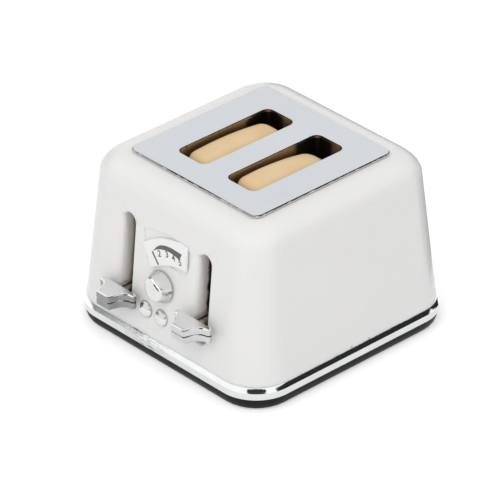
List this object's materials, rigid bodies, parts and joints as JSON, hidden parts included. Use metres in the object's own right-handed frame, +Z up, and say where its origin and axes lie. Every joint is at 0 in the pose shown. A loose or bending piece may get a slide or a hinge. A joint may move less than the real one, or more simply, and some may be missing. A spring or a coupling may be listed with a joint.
{
  "type": "miniature toaster",
  "caption": "Doll-size toaster with bread slots in a bright top plate, sliding levers, a browning knob under a curved scale, push buttons and a dark base.",
  "frame": {"origin": "centre of the base's flat underside", "axes": "+Z up, -Y out of the front with the levers and the dial, +X to the right of a viewer who faces the front"},
  "size_m": [0.0544, 0.0591, 0.0377],
  "materials": {
    "white_shell": "gloss",
    "bright_plate": "satin",
    "bright_trim": "mirror",
    "dark_base": "satin",
    "scale_plate": "gloss",
    "dark_well": "gloss",
    "dark_moulding": "matte",
    "steel": "satin",
    "soft_pad": "matte",
    "bread": "matte"
  },
  "bodies": {
    "toaster": {"housing": "white_shell", "top_plate": "bright_plate", "well_left": "dark_well", "well_right": "dark_well", "base_band": "bright_trim", "base": "dark_base", "dial_plate": "scale_plate", "button_bracket": "dark_moulding", "bracket_screw_lower": "steel", "bracket_screw_upper": "steel", "button_pad_left": "soft_pad", "button_pad_right": "soft_pad", "guide_rod_left": "steel", "guide_rod_right": "steel", "base_screw_front_left": "steel", "base_screw_front_right": "steel", "base_screw_back_left": "steel", "base_screw_back_right": "steel"},
    "left_lift": {"lever_left": "bright_trim", "carriage_left": "dark_moulding", "lever_screw_left": "steel"},
    "right_lift": {"lever_right": "bright_trim", "carriage_right": "dark_moulding", "lever_screw_right": "steel"},
    "left_slice": {"bread_left": "bread"},
    "right_slice": {"bread_right": "bread"},
    "browning_knob": {"knob": "bright_trim", "knob_washer": "steel"},
    "left_button": {"button_left": "bright_trim"},
    "right_button": {"button_right": "bright_trim"}
  },
  "joints": [
    {"name": "left_lever_slide", "type": "slide", "parent": "toaster", "child": "left_lift", "axis": [0, 0, 1], "range_m": [-0.0007, 0.0149]},
    {"name": "right_lever_slide", "type": "slide", "parent": "toaster", "child": "right_lift", "axis": [0, 0, 1], "range_m": [-0.003, 0.0126]},
    {"name": "left_slice_lift", "type": "slide", "parent": "left_lift", "child": "left_slice", "axis": [0, 0, 1], "range_m": [0, 0.024]},
    {"name": "right_slice_lift", "type": "slide", "parent": "right_lift", "child": "right_slice", "axis": [0, 0, 1], "range_m": [0, 0.024]},
    {"name": "knob_turn", "type": "hinge", "parent": "toaster", "child": "browning_knob", "pos_m": [-0.0004, -0.0255, 0.0174], "axis": [0, 0.9954, -0.0958], "range_deg": [-8, 56]},
    {"name": "left_button_press", "type": "slide", "parent": "toaster", "child": "left_button", "axis": [0, 0.9954, -0.0958], "range_m": [0, 0.0008], "stiffness_N_per_m": 150, "springref_m": -0.0005, "deforming": ["button_pad_left"]},
    {"name": "right_button_press", "type": "slide", "parent": "toaster", "child": "right_button", "axis": [0, 0.9954, -0.0958], "range_m": [0, 0.0008], "stiffness_N_per_m": 150, "springref_m": -0.0005, "deforming": ["button_pad_right"]}
  ]
}
